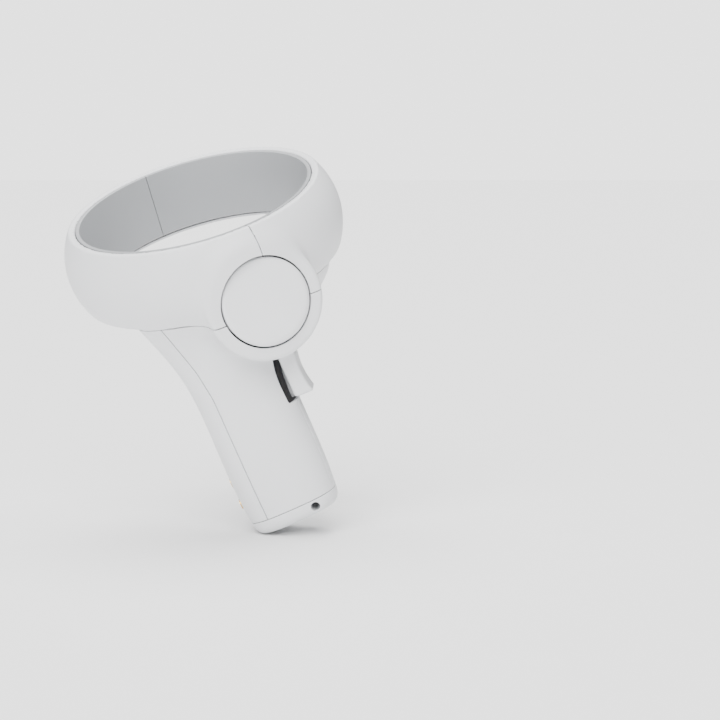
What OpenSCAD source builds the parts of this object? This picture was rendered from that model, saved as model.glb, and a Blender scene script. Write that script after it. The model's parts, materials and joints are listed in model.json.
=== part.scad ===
// Hand-held motion controller for the right hand, with a tracking ring.
// Millimetres. The origin is the centre of the handle's end face, in the pose
// in which the controller stands in a charging dock: the handle leans to -X,
// the trigger faces -Y and the thumb's side faces +Y.

/* [Tracking ring] */
// Inner radius of the ring
ring_in_r = 40.6; // [40:0.1:41.4]
// Greatest outer radius of the ring
ring_out_r = 49.1; // [48.5:0.1:50]
// Height of the ring's wall
ring_h = 27; // [26:0.1:28]
// Sideways lean of the ring, degrees
ring_lean_side = 13.54; // [12:0.01:15]
// Forward lean of the ring, degrees
ring_lean_front = 19.71; // [18:0.01:21]
// Wall thickness of the ring's covers
cover_wall = 1.6; // [1.2:0.1:2]
// Thickness of the grey inner liner
liner_t = 1.5; // [1:0.1:1.6]
// Number of infrared lamps in the ring
lamp_count = 15; // [8:1:18]

/* [Handle] */
// Lean of the handle, degrees
handle_lean = 24; // [20:1:28]
// Wall thickness of the housings
wall = 2; // [1.6:0.1:2.4]
// Thickness of the end cap
end_cap_h = 5; // [4:0.5:6]
// Radius of the wrist strap's hole
strap_r = 1.6; // [1.2:0.1:2]
// Diameter of the battery cell
cell_d = 14.2; // [13.5:0.1:14.5]
// Length of the battery cell without its nub
cell_l = 49; // [48:0.5:50]

/* [Trigger] */
// Radius of the hole that the trigger moves in
trigger_hole_r = 15.6; // [15.4:0.1:16]
// Radius of the trigger's cap
trigger_r = 14.9; // [14.5:0.1:15]
// Radius of the collar round the trigger
collar_r = 19.9; // [18.5:0.1:20.5]
// Radius of the hinge pins
pin_r = 1; // [0.8:0.1:1.2]
// Radial clearance between a pin and its hole
pin_fit = 0.05; // [0.02:0.01:0.09]

/* [Face] */
// Radius of the face plate
face_r = 24.7; // [24:0.1:25]
// Thickness of the face plate
face_t = 2; // [1.6:0.1:2.4]
// Radius of the thumbstick's cap
stick_cap_r = 8.2; // [7.5:0.1:9]
// Radius of the two round buttons
button_r = 4.3; // [4:0.1:4.8]
// Radius of the home button
home_r = 3.2; // [2.8:0.1:3.6]

/* [Hidden] */

gap = 0.3;                  // seam between neighbouring shells
big = 200;                  // size of the blocks that cut
seam_front = 25;            // azimuth of the front seam of the ring
seam_back = -154.5;         // azimuth of the far seam of the ring
seam_half = 0.18;           // half of a ring seam's gap, degrees
ring_centre = [-36.375, 12, 108.711];
ring_turn = 4.79;           // turns the ring's own X axis level with the world's
rim_r = 0.95;               // radius of the ring's outer top edge
rim_rho = ring_in_r + 3.4;
rim_w = -0.7;
rim_in = 0.4;               // radius of the ring's inner top edge
bulge_r = 25.4;             // radius of the ring's bulged outer wall, in section
bulge_w = -14.4;            // height of the bulge's greatest radius
bulge_rho = ring_out_r - bulge_r;
liner_top = -0.1;
liner_low = -23.9;

trigger_at = [-9.4, -25, 76];
trigger_turn = [92.6, 0, 19.8];
trigger_hinge = [-12, -4.6];    // hinge in the trigger's own X and Z
trigger_rise = 1;               // height of the middle of the trigger's face over its hole
trigger_tilt = 6.3;             // tilt of that face, degrees, highest at the lower right
trigger_high = -39.7;           // direction of the face's highest edge, degrees

face_at = [-23.2, 6, 78];
face_turn_x = -16.92;
face_turn_y = -15.13;
drum_r = face_r + 2;            // outer radius of the rim round the face plate
rim_h = 4.5;
stick_at = [9.5, -1.5];
upper_at = [-7.5, -9];
lower_at = [-11.5, 2.5];
home_at = [-3, 15];
stick_pivot = -7;               // depth of the thumbstick's pivot below the face
dome_r = 8.6;                   // outer radius of the thumbstick's dust dome
stick_hole_r = 7.2;

grip_hinge = [16, 59];          // hinge of the grip button in the handle's X and Z
grip_y = [-10.5, 7.5];          // front and back faces of the grip button
cell_at = [-1.3, 1.7];           // axis of the battery cell in the handle's X and Y
cell_z = 9.5;

white = "#E4E5E6";
grey = "#B4B6B8";
dark = "#2C2E31";

// ---------- frames ----------
module in_ring() {
    translate(ring_centre) rotate([ring_lean_front, 0, 0]) rotate([0, -ring_lean_side, 0])
        rotate([0, 0, ring_turn]) children();
}
module in_handle() { rotate([0, -handle_lean, 0]) children(); }
module in_trigger() { translate(trigger_at) rotate(trigger_turn) children(); }
module in_face() {
    translate(face_at) rotate([face_turn_x, 0, 0]) rotate([0, face_turn_y, 0]) children();
}
module at_stick() { in_face() translate([stick_at[0], stick_at[1], stick_pivot]) children(); }

function from_handle(p) = [
    p[0] * cos(handle_lean) - p[2] * sin(handle_lean), p[1],
    p[0] * sin(handle_lean) + p[2] * cos(handle_lean)
];

// ---------- helpers ----------
// Points of an arc of radius r round c, from angle a to angle b
function arc(c, r, a, b, n) = [for (i = [0:n]) let (t = a + (b - a) * i / n) c + r * [cos(t), sin(t)]];
// Outline of a rounded rectangle with unequal sides, as a superellipse
function blob(xl, xr, yf, yb, p, n) = [for (i = [0:n - 1]) let (t = 360 * i / n, c = cos(t), s = sin(t)) [
    (xl + xr) / 2 + (xr - xl) / 2 * sign(c) * pow(abs(c), 2 / p),
    (yf + yb) / 2 + (yb - yf) / 2 * sign(s) * pow(abs(s), 2 / p)
]];
// Closed solid through a stack of sections with equal numbers of points
module loft(sections) {
    n = len(sections[0]);
    m = len(sections);
    points = [for (s = sections) for (p = s) p];
    sides = [for (k = [0:m - 2]) for (i = [0:n - 1]) let (j = (i + 1) % n)
        each [[k * n + i, (k + 1) * n + i, (k + 1) * n + j], [k * n + i, (k + 1) * n + j, k * n + j]]];
    low = [for (i = [0:n - 1]) i];
    high = [for (i = [n - 1:-1:0]) (m - 1) * n + i];
    polyhedron(points, concat(sides, [low, high]), convexity = 6);
}
// Round wire along a helix, with a changing coil radius
module coil(r0, r1, height, turns, wire, start = 0) {
    steps = ceil(turns * 14);
    sides = 6;
    sections = [for (k = [0:steps]) let (
        f = k / steps, a = start + 360 * turns * f, r = r0 + (r1 - r0) * f, h = height * f
    ) [for (i = [0:sides - 1]) let (b = -360 * i / sides)
        [(r + wire * cos(b)) * cos(a), (r + wire * cos(b)) * sin(a), h + wire * sin(b)]]];
    loft(sections);
}
// Sector of the ring's zone between two azimuths
module ring_sector(a, b, rho0, rho1, w0, w1) {
    rotate_extrude(angle = b - a, start = a - 90, $fn = 96)
        polygon([[rho0, w0], [rho1, w0], [rho1, w1], [rho0, w1]]);
}
// Everything below the ring's seam plane, lowered by d
module below_ring(d = 0) {
    in_ring() translate([-big / 2, -big / 2, -ring_h - d - big]) cube(big);
}
// Everything below the face plate's plane, raised by d
module below_face(d = 0) { in_face() translate([-big / 2, -big / 2, d - big]) cube(big); }

// ---------- tracking ring ----------
module cover_section() {
    inner_r = bulge_r - cover_wall;
    polygon(concat(
        arc([ring_in_r + liner_t + 0.1 + rim_in, -rim_in], rim_in, 180, 100, 4),
        arc([rim_rho, rim_w], rim_r, 96, 36, 5),
        arc([bulge_rho, bulge_w], bulge_r, 33.5, -29.3, 12),
        [[ring_in_r + 1.4, 1.6 - ring_h], [ring_in_r + 0.2, liner_low - 0.6],
         [ring_in_r + 0.2, liner_low - 0.2], [ring_in_r + liner_t + 0.3, liner_low - 0.2]],
        arc([bulge_rho, bulge_w], inner_r, -26, 27, 10),
        [[ring_in_r + liner_t + 0.3, -3.4], [ring_in_r + liner_t + 0.1, -2]]
    ));
}
module ring_cover(a, b) {
    difference() {
        union() {
            in_ring() rotate_extrude(angle = b - a, start = a - 90, $fn = 96) cover_section();
            intersection() {
                in_trigger() translate([0, 0, -14]) cylinder(r = collar_r, h = 14, $fn = 72);
                in_ring() ring_sector(a, b, ring_in_r + liner_t + 0.6, 70, -ring_h, -2);
            }
        }
        in_trigger() translate([0, 0, -11]) cylinder(r = trigger_hole_r, h = 30, $fn = 72);
        bracket_space();
    }
}
module ring_liner(a, b) {
    in_ring() rotate_extrude(angle = b - a, start = a - 90, $fn = 96) polygon([
        [ring_in_r, liner_top - 0.3], [ring_in_r + 0.3, liner_top], [ring_in_r + liner_t, liner_top],
        [ring_in_r + liner_t, liner_low], [ring_in_r + 0.3, liner_low], [ring_in_r, liner_low + 0.3]
    ]);
}
module ring_cover_left() { color(white) ring_cover(seam_back + seam_half, seam_front - seam_half); }
module ring_cover_right() { color(white) ring_cover(seam_front + seam_half, 360 + seam_back - seam_half); }
module ring_liner_left() { color(grey) ring_liner(seam_back + seam_half, seam_front - seam_half); }
module ring_liner_right() { color(grey) ring_liner(seam_front + seam_half, 360 + seam_back - seam_half); }

flex_r = ring_in_r + liner_t + 0.5;
flex_from = 62;             // the flexible strip starts and ends beside the trigger
flex_to = 324;
module ring_flex() {
    color("#3A5F45") in_ring() ring_sector(flex_from, flex_to, flex_r, flex_r + 0.3, -20, -8);
}
module ring_lamps() {
    color("#303238") in_ring() for (i = [0:lamp_count - 1])
        rotate([0, 0, flex_from + 8 + (flex_to - flex_from - 16) * i / (lamp_count - 1) - 90])
            translate([flex_r + 0.35, -1.6, -15.6]) cube([1.4, 3.2, 3.2]);
}

// ---------- housings ----------
section_n = 36;
// Handle sections: height, left, right, front and back, in the handle's frame
handle_sections = [
    [5.2, -15.3, 16.4, -13.8, 12.8], [14, -15.9, 17.1, -14.7, 13.8],
    [30, -15.9, 17.4, -15, 14.2], [44, -15.7, 17.6, -14.4, 14.6]
];
// Outline of the head under the ring and the face plate, every 30 degrees from +X
head_rim = [
    [10.4, 2, 86.5], [8, 16, 84.6], [-4, 27, 78], [-20, 32.5, 71.5], [-37, 28.5, 67.5],
    [-49.5, 17, 66.8], [-53.2, 0, 70], [-52.2, -14.2, 65.5], [-39.5, -20.1, 66.8],
    [-25, -22, 69.8], [-10.5, -18.9, 74.5], [1.4, -11.6, 80.2]
];
head_mid = [-21, 5, 74];
ring_up = [-0.234, -0.328, 0.915];
function unit(v) = v / norm(v);
// Smooth closed curve through the points of q
function smooth_at(q, i, f) = let (
    n = len(q), a = q[(i + n - 1) % n], b = q[i % n], c = q[(i + 1) % n], d = q[(i + 2) % n]
) 0.5 * (2 * b + (c - a) * f + (2 * a - 5 * b + 4 * c - d) * f * f + (3 * b - a - 3 * c + d) * f * f * f);
function bezier(a, b, c, d, t) = pow(1 - t, 3) * a + 3 * t * pow(1 - t, 2) * b
    + 3 * t * t * (1 - t) * c + t * t * t * d;
function handle_ring(s) = [for (p = blob(s[1], s[2], s[3], s[4], 2.5, section_n))
    from_handle([p[0], p[1], s[0]])];
head_top = [for (k = [0:section_n - 1])
    let (per = section_n / 12) smooth_at(head_rim, floor(k / per), (k % per) / per)];
neck_rise = 16;             // how far the neck follows the handle's line
shoulder = 12;              // how far the shoulder follows the ring's wall
head_steps = 8;
head_sections = let (low = handle_ring(handle_sections[3]), up = from_handle([0, 0, neck_rise]))
    [for (t = [1:head_steps]) [for (k = [0:section_n - 1]) let (
        q = head_top[k], back = 0.87 * ring_up + 0.4 * unit(q - head_mid)
    ) bezier(low[k], low[k] + up, q - shoulder * back, q, t / head_steps)]];
body_sections = concat(
    [for (s = handle_sections) handle_ring(s)], head_sections,
    [[for (p = head_top) p + 6 * (0.95 * ring_up + 0.2 * unit(p - head_mid))]]
);
// Outward normal of the body's surface at point k of section m
function body_normal(m, k) = let (
    last = len(body_sections) - 1, n = section_n,
    along = body_sections[min(m + 1, last)][k] - body_sections[max(m - 1, 0)][k],
    round_it = body_sections[m][(k + 1) % n] - body_sections[m][(k + n - 1) % n]
) unit(cross(round_it, along));
module body_form(inset) {
    difference() {
        loft([for (m = [0:len(body_sections) - 1]) [for (k = [0:section_n - 1])
            body_sections[m][k] - inset * body_normal(m, k)]]);
        in_ring() translate([-big / 2, -big / 2, -ring_h - gap - inset]) cube(big);
        in_face() translate([-big / 2, -big / 2, 0.8 - inset]) cube(big);
    }
}
// Round raised part of the head under the face plate, kept inside the ring's liner
module drum(r, inset) {
    intersection() {
        in_face() translate([0, 0, -17]) cylinder(r = r, h = 17.8, $fn = 72);
        in_ring() translate([0, 0, -big / 2]) cylinder(r = ring_in_r - gap - inset, h = big, $fn = 96);
    }
}
// Shell of the head and the handle, before it is split into pieces
module body_shell() {
    difference() {
        union() {
            body_form(0);
            difference() {
                drum(drum_r, 0);
                below_ring(gap + 1);
            }
            intersection() {
                in_trigger() translate([0, 0, -13]) cylinder(r = collar_r, h = 13, $fn = 72);
                below_ring(gap);
            }
        }
        body_form(wall);
        in_handle() translate([0, 0, 4]) linear_extrude(3)
            polygon(blob(-15.3 + wall, 16.4 - wall, -13.8 + wall, 12.8 - wall, 2.5, section_n));
        drum(face_r - 1, 1.5);
        in_face() translate([0, 0, -face_t - 0.2]) cylinder(r = face_r + 0.15, h = 30, $fn = 72);
        in_trigger() translate([0, 0, -14]) cylinder(r = trigger_hole_r, h = 30, $fn = 72);
        bracket_space();
        grip_space();
    }
}
// The battery cover's edge, seen from the front, in the handle's X and Z
cover_edge = [[-8.6, 0], [-8.6, 50], [-10, 60.5], [-12.1, 69], [-14, 78], [-17, 90]];
module cover_side(shift) {
    in_handle() translate([0, big / 2, 0]) rotate([90, 0, 0]) linear_extrude(big)
        translate([shift, 0]) polygon(concat([[-big, 90], [-big, 0]], cover_edge));
}
// The line between the front and rear housings, in Y and the handle's Z
split_line = [[-6, -5], [-6, 46], [13, 82], [13, 130]];
module rear_side(shift) {
    in_handle() rotate([90, 0, 90]) linear_extrude(big, center = true)
        translate([shift, 0]) polygon(concat(split_line, [[big, 130], [big, -5]]));
}
// The rim round the face plate, which stays with the housings
module rim_side(grow) { in_face() translate([-big / 2, -big / 2, -rim_h - grow]) cube(big); }
module front_housing() {
    color(white) resize([0, 0, 0]) difference() {
        body_shell();
        difference() { cover_side(0); rim_side(0); }
        rear_side(-gap / 2);
    }
}
module rear_housing() {
    color(white) resize([0, 0, 0]) intersection() {
        difference() { body_shell(); difference() { cover_side(0); rim_side(0); } }
        rear_side(gap / 2);
    }
}
module battery_cover() {
    color(white) resize([0, 0, 0]) difference() {
        intersection() { body_shell(); cover_side(-gap); }
        rim_side(gap);
    }
}
module end_cap() {
    color(white) in_handle() difference() {
        hull() {
            linear_extrude(0.5) polygon(blob(-12, 13, -10.5, 9.5, 2.5, 32));
            translate([0, 0, 2.4]) linear_extrude(0.1) polygon(blob(-14.6, 15.7, -13.1, 12.1, 2.5, 32));
            translate([0, 0, end_cap_h - 0.1]) linear_extrude(0.1)
                polygon(blob(-15.3, 16.4, -13.8, 12.8, 2.5, 32));
        }
        translate([8, 0, 2.6]) rotate([90, 0, 0]) cylinder(r = strap_r, h = 60, center = true, $fn = 32);
    }
}

// ---------- face ----------
module face_plate() {
    color(white) in_face() difference() {
        translate([0, 0, -face_t]) cylinder(r = face_r, h = face_t, $fn = 96);
        translate([stick_at[0], stick_at[1], -5]) cylinder(r = stick_hole_r, h = 10, $fn = 48);
        for (at = [upper_at, lower_at]) translate([at[0], at[1], -5])
            cylinder(r = button_r + gap, h = 10, $fn = 48);
        translate([home_at[0], home_at[1], -5]) cylinder(r = home_r + gap, h = 10, $fn = 48);
    }
}
module face_ring() {
    color(grey) in_face() translate([stick_at[0], stick_at[1], 0]) rotate_extrude($fn = 64)
        polygon([[stick_hole_r, 0], [stick_hole_r + 1.6, 0], [stick_hole_r + 1.3, 0.5],
                 [stick_hole_r + 0.3, 0.5]]);
}
// Round key with a flange below the face plate
module key(at, r, rise) {
    in_face() translate([at[0], at[1], 0]) rotate_extrude($fn = 48) polygon([
        [0, -4.4], [1.6, -4.4], [1.6, -3.6], [r + 1, -3.6], [r + 1, -face_t - 0.2], [r, -face_t - 0.2],
        [r, rise - 0.5], [r - 0.15, rise - 0.15], [r - 0.5, rise], [0, rise]
    ]);
}
module button_upper() { color(white) key(upper_at, button_r, 1.3); }
module button_lower() { color(white) key(lower_at, button_r, 1.3); }
module home_button() { color(white) key(home_at, home_r, 0.5); }
board_top = -6.8;
module button_pad() {
    color("#8E9094") in_face() {
        difference() {
            translate([-13.5, -14, board_top + 0.05]) cube([14, 32, 0.6]);
            translate([stick_at[0], stick_at[1], -10]) cylinder(r = dome_r + 1, h = 10, $fn = 48);
        }
        for (at = [upper_at, lower_at, home_at]) translate([at[0], at[1], board_top + 0.65])
            cylinder(r1 = 2.4, r2 = 1.7, h = 0.65, $fn = 32);
    }
}
module button_board() {
    color("#2F6B48") in_face() difference() {
        translate([-17, -15, board_top - 1]) cube([19, 34, 1]);
        translate([stick_at[0], stick_at[1], -10]) cylinder(r = dome_r + 1, h = 10, $fn = 48);
    }
}
module touch_film() {
    color("#C98B3A") in_face() translate([0, 0, -face_t - 0.15]) difference() {
        translate([-20, -6, 0]) cube([3.2, 14, 0.12]);
        translate([lower_at[0], lower_at[1], -1]) cylinder(r = button_r + 1.4, h = 3, $fn = 48);
    }
}
screw_at = [[-14.5, 6.5], [-3, -6]];
module main_board() {
    color("#2F6B48") in_face() translate([0, 0, -15.6]) difference() {
        translate([-17, -9, 0]) cube([31, 18, 1]);
        for (at = screw_at) translate([at[0], at[1], -1]) cylinder(r = 1.1, h = 3, $fn = 24);
    }
}

// ---------- thumbstick ----------
module thumbstick_cap() {
    color(white) at_stick() rotate_extrude($fn = 72) polygon(concat(
        [[0, 15.4], [2, 15.4], [2, 14.6], [2.7, 14.2], [stick_cap_r - 1.6, 15.4]],
        arc([stick_cap_r - 1.2, 16.6], 1.2, -80, 80, 6),
        [[stick_cap_r - 2.4, 17.5], [stick_cap_r - 4.5, 17.1], [0, 16.9]]
    ));
}
module stick_shaft() {
    color(dark) at_stick() {
        translate([0, 0, 2]) cylinder(r = 1.9, h = 13.3, $fn = 32);
        translate([-2, -2, -2]) cube([4, 4, 4.1]);
        rotate([90, 0, 0]) cylinder(r = 0.8, h = 9, center = true, $fn = 24);
    }
}
module stick_dome() {
    color(dark) at_stick() rotate_extrude($fn = 64) polygon(concat(
        arc([0, 0], dome_r, 76.7, 24, 10), arc([0, 0], dome_r - 0.9, 24, 75, 10)
    ));
}
module gimbal_yoke() {
    color("#6B6E73") at_stick() difference() {
        union() {
            translate([-4.7, -4.7, -1.4]) cube([9.4, 9.4, 2.8]);
            rotate([0, 90, 0]) cylinder(r = 0.8, h = 13.4, center = true, $fn = 24);
        }
        translate([-2.9, -2.9, -5]) cube([5.8, 5.8, 10]);
        rotate([90, 0, 0]) cylinder(r = 0.8 + pin_fit, h = 20, center = true, $fn = 24);
    }
}
module gimbal_frame() {
    color("#8C9096") at_stick() difference() {
        translate([0, 0, -5]) cylinder(r = 7.4, h = 7, $fn = 64);
        translate([0, 0, -3.6]) cylinder(r = 6.85, h = 20, $fn = 64);
        rotate([0, 90, 0]) cylinder(r = 0.8 + pin_fit, h = 30, center = true, $fn = 24);
    }
}
module stick_base() {
    color(dark) at_stick() difference() {
        translate([0, 0, -7.5]) cylinder(r = 8.6, h = 6, $fn = 64);
        translate([0, 0, -5.6]) cylinder(r = 7.45, h = 20, $fn = 64);
    }
}

// ---------- trigger ----------
module trigger_cap() {
    r = trigger_r;
    color(white) in_trigger() difference() {
        rotate_extrude($fn = 96) polygon(concat(
            [[0, -1.2], [r - 1.6, -1.2], [r - 1.6, -3.4], [r, -3.4]],
            arc([r - 1.2, 1.2], 1.2, 0, 60, 4), [[r - 2.4, 3], [0, 3]]
        ));
        rotate([0, 0, trigger_high]) translate([0, 0, trigger_rise]) rotate([0, -trigger_tilt, 0])
            translate([-big / 2, -big / 2, 0]) cube(big);
        translate([trigger_hinge[0], 0, trigger_hinge[1]]) rotate([90, 0, 0])
            cylinder(r = 2.3, h = 60, center = true, $fn = 48);
    }
}
module trigger_lever() {
    color(dark) in_trigger() difference() {
        union() {
            for (side = [-1, 1]) hull() {
                translate([trigger_hinge[0], side * 5, trigger_hinge[1]]) rotate([90, 0, 0])
                    cylinder(r = 1.9, h = 2.4, center = true, $fn = 32);
                translate([-6, side * 5 - 1.2, -3]) cube([2, 2.4, 1.7]);
            }
            translate([-8, -7.6, -3]) cube([17.5, 15.2, 1.75]);
        }
        translate([trigger_hinge[0], 0, trigger_hinge[1]]) rotate([90, 0, 0])
            cylinder(r = pin_r + pin_fit, h = 60, center = true, $fn = 32);
    }
}
pin_half = 11.6;
module trigger_pin() {
    color("#C4C7CA") in_trigger() translate([trigger_hinge[0], 0, trigger_hinge[1]]) rotate([90, 0, 0])
        cylinder(r = pin_r, h = 2 * pin_half, center = true, $fn = 32);
}
module trigger_spring() {
    color("#9EA2A6") in_trigger() translate([trigger_hinge[0], -3.2, trigger_hinge[1]]) rotate([-90, 0, 0])
        coil(1.75, 1.75, 6.4, 6, 0.3);
}
bracket_z = [-6.4, -2.8];
module bracket_form(grow) {
    in_trigger() intersection() {
        translate([0, 0, bracket_z[0] - grow]) difference() {
            cylinder(r = 17.4 + grow, h = bracket_z[1] - bracket_z[0] + 2 * grow, $fn = 72);
            translate([0, 0, -1]) cylinder(r = trigger_hole_r, h = 20, $fn = 72);
        }
        translate([-20, -20, -20]) cube([11 + grow, 40, 40]);
    }
}
// Room that the liner takes up inside the ring
module liner_room() {
    in_ring() translate([0, 0, liner_low - 0.3]) cylinder(r = ring_in_r + liner_t + 0.2, h = 40, $fn = 96);
}
module bracket_space() { bracket_form(0.2); }
module trigger_bracket() {
    color("#8C9096") difference() {
        bracket_form(0);
        liner_room();
        in_trigger() translate([trigger_hinge[0], 0, trigger_hinge[1]]) rotate([90, 0, 0])
            cylinder(r = pin_r + 0.02, h = 60, center = true, $fn = 32);
    }
}
module trigger_magnet() {
    color("#B9BCC0") in_trigger() translate([8, -4.5, -3.8]) cylinder(r = 1.6, h = 0.8, $fn = 32);
}
module trigger_sensor() {
    color(dark) in_trigger() {
        translate([6.4, -6.1, -9.41]) cube([3.2, 3.2, 1]);
        translate([3, -8.5, -10.2]) cube([8, 6.5, 0.8]);
    }
}

// ---------- grip button ----------
module grip_form(grow) {
    x = [15.2, 23.1];
    in_handle() translate([0, grip_y[1] + grow, 0]) rotate([90, 0, 0])
        linear_extrude(grip_y[1] - grip_y[0] + 2 * grow) polygon([
            [x[0] - 1.4 - grow, 39.2 - grow], [x[0] + 2, 38.8 - grow], [x[1] + 0.3 + 3 * grow, 38.8 - grow],
            [x[1] - 0.2, 41], [x[1] - 0.8, 46.5], [x[1] - 0.3, 50.5], [x[1] - 0.1, 54],
            [x[1] - 1.6 + grow, 56 + grow], [x[0] - 1.4 - grow, 56 + grow]
        ]);
}
module grip_space() {
    in_handle() translate([10.8, grip_y[0] - 0.4, 37.6]) cube([30, grip_y[1] - grip_y[0] + 0.8, 18.9]);
}
module grip_button() {
    color(white) difference() {
        union() {
            difference() {
                grip_form(0);
                in_handle() translate([12, grip_y[0] + 1.6, 41]) cube([8.9, grip_y[1] - grip_y[0] - 3.2, 17]);
            }
            in_handle() for (y = [-3, 4.4]) hull() {
                translate([grip_hinge[0], y, grip_hinge[1]]) rotate([90, 0, 0])
                    cylinder(r = 2.2, h = 2.4, center = true, $fn = 32);
                translate([15.5, y - 1.2, 52]) cube([4, 2.4, 2.5]);
            }
            in_handle() for (y = [-3, 4.4]) translate([17, y - 1.2, 50.5]) cube([5, 2.4, 3]);
        }
        in_handle() translate([grip_hinge[0], 0, grip_hinge[1]]) rotate([90, 0, 0])
            cylinder(r = pin_r + pin_fit, h = 60, center = true, $fn = 32);
    }
}
module grip_pin() {
    color("#C4C7CA") in_handle() translate([grip_hinge[0], 8, grip_hinge[1]]) rotate([90, 0, 0])
        cylinder(r = pin_r, h = 14.6, $fn = 32);
}
module grip_spring() {
    color("#9EA2A6") in_handle() translate([grip_hinge[0], -1.4, grip_hinge[1]]) rotate([-90, 0, 0])
        coil(1.75, 1.75, 4.2, 4, 0.3);
}
module grip_bracket() {
    color("#8C9096") in_handle() difference() {
        union() {
            for (y = [-5.9, 7.3]) hull() {
                translate([grip_hinge[0], y, grip_hinge[1]]) rotate([90, 0, 0])
                    cylinder(r = 2.2, h = 1.4, center = true, $fn = 32);
                translate([9.6, y - 0.7, 57]) cube([1.4, 1.4, 4.4]);
            }
            translate([8.6, -6.6, 57]) cube([1.4, 14.6, 4.4]);
        }
        translate([grip_hinge[0], 0, grip_hinge[1]]) rotate([90, 0, 0])
            cylinder(r = pin_r + 0.02, h = 60, center = true, $fn = 32);
    }
}
module grip_magnet() {
    color("#B9BCC0") in_handle() translate([19.5, -1.5, 44]) rotate([0, 90, 0])
        cylinder(r = 1.6, h = 1.4, $fn = 32);
}
module grip_sensor() {
    color(dark) in_handle() translate([10.4, -3.5, 42]) cube([1.2, 4, 4]);
}

// ---------- battery and electronics ----------
module battery_cell() {
    color("#3E6FA8") in_handle() translate([cell_at[0], cell_at[1], cell_z]) {
        cylinder(d = cell_d, h = cell_l, $fn = 64);
        translate([0, 0, cell_l]) cylinder(r = 2.7, h = 1.2, $fn = 32);
    }
}
tray_r = [7.4, 8.5];
module battery_tray() {
    top = cell_z + cell_l + 1.9;
    color(dark) in_handle() translate([cell_at[0], cell_at[1], 0]) {
        difference() {
            translate([0, 0, 7]) cylinder(r = tray_r[1], h = top + 1.2 - 7, $fn = 64);
            translate([0, 0, 8]) cylinder(r = tray_r[0], h = top - 8, $fn = 64);
            translate([-20, -20, 8]) cube([20, 40, top - 8]);
            translate([-20, -20, 0]) cube([12.8, 40, big]);
        }
    }
}
module spring_contact() {
    color("#C9CCCF") in_handle() translate([cell_at[0], cell_at[1], 8.35]) coil(4.6, 2.2, 0.8, 3, 0.3);
}
module plate_contact() {
    color("#C9CCCF") in_handle() translate([cell_at[0] - 3, cell_at[1] - 4, cell_z + cell_l + 1.3])
        cube([6, 8, 0.4]);
}
module grip_board() {
    color("#2F6B48") in_handle() translate([-5, -9.6, 10]) cube([13.5, 1, 42]);
}
module haptic_motor() {
    color("#A9ADB2") in_handle() translate([9.4, 0, 12]) hull() {
        translate([0, -4, 0]) cube([4.2, 8, 0.1]);
        translate([0, -4, 15]) cube([4.2, 8, 0.1]);
    }
}
module charge_pads() {
    color("#C8A24A") in_handle() for (z = [12, 20]) translate([-15.95, -0.6, z]) rotate([0, 90, 0])
        translate([0, 0, -0.25]) cylinder(r = 1.8, h = 0.5, $fn = 32);
}
module housing_screws() {
    color("#55585C") in_face() for (at = screw_at) translate([at[0], at[1], -15.65]) {
        cylinder(r = 0.95, h = 3, $fn = 24);
        translate([0, 0, -1.2]) cylinder(r = 1.9, h = 1.2, $fn = 24);
    }
}

ring_cover_left();
ring_cover_right();
ring_liner_left();
ring_liner_right();
ring_flex();
ring_lamps();
front_housing();
rear_housing();
battery_cover();
end_cap();
face_plate();
face_ring();
button_upper();
button_lower();
home_button();
button_pad();
button_board();
main_board();
touch_film();
thumbstick_cap();
stick_shaft();
stick_dome();
gimbal_yoke();
gimbal_frame();
stick_base();
trigger_cap();
trigger_lever();
trigger_pin();
trigger_spring();
trigger_bracket();
trigger_magnet();
trigger_sensor();
grip_button();
grip_pin();
grip_spring();
grip_bracket();
grip_magnet();
grip_sensor();
battery_tray();
battery_cell();
spring_contact();
plate_contact();
grip_board();
haptic_motor();
charge_pads();
housing_screws();
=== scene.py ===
import json
import math

import bpy
import numpy as np
from mathutils import Matrix, Vector
from mathutils.bvhtree import BVHTree


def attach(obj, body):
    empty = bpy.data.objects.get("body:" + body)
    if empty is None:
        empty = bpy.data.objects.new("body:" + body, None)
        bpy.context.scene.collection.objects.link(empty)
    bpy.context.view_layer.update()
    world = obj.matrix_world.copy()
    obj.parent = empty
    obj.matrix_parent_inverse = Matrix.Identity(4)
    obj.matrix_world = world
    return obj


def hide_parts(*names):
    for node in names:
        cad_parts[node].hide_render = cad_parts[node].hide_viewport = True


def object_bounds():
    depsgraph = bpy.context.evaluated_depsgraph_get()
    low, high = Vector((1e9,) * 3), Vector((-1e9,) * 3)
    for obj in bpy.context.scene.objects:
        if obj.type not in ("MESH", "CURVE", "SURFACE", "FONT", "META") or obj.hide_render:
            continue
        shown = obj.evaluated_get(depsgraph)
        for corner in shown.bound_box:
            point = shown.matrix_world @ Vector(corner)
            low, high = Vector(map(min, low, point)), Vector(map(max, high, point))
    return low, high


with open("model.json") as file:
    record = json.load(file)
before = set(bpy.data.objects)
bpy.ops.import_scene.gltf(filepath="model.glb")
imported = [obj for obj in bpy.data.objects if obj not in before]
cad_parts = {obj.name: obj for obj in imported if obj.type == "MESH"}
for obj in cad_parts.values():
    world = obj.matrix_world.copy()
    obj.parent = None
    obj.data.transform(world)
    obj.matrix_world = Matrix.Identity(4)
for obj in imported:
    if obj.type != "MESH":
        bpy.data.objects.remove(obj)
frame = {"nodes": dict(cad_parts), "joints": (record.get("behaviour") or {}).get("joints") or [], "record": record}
cad_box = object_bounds()

# All shapes are worked out in millimetres and written out in metres.
MM = 0.001
RECORD = frame["record"]
JOINTS = {j["name"]: j for j in frame["joints"]}
MOUNTS = {m["name"]: m for m in RECORD["mounts"]}


# ---------- frames ----------
def unit(v):
    v = np.asarray(v, float)
    return v / np.maximum(np.linalg.norm(v, axis=-1, keepdims=True), 1e-9)


def turned(axis, degrees):
    return np.array(Matrix.Rotation(math.radians(degrees), 3, axis))


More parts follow.
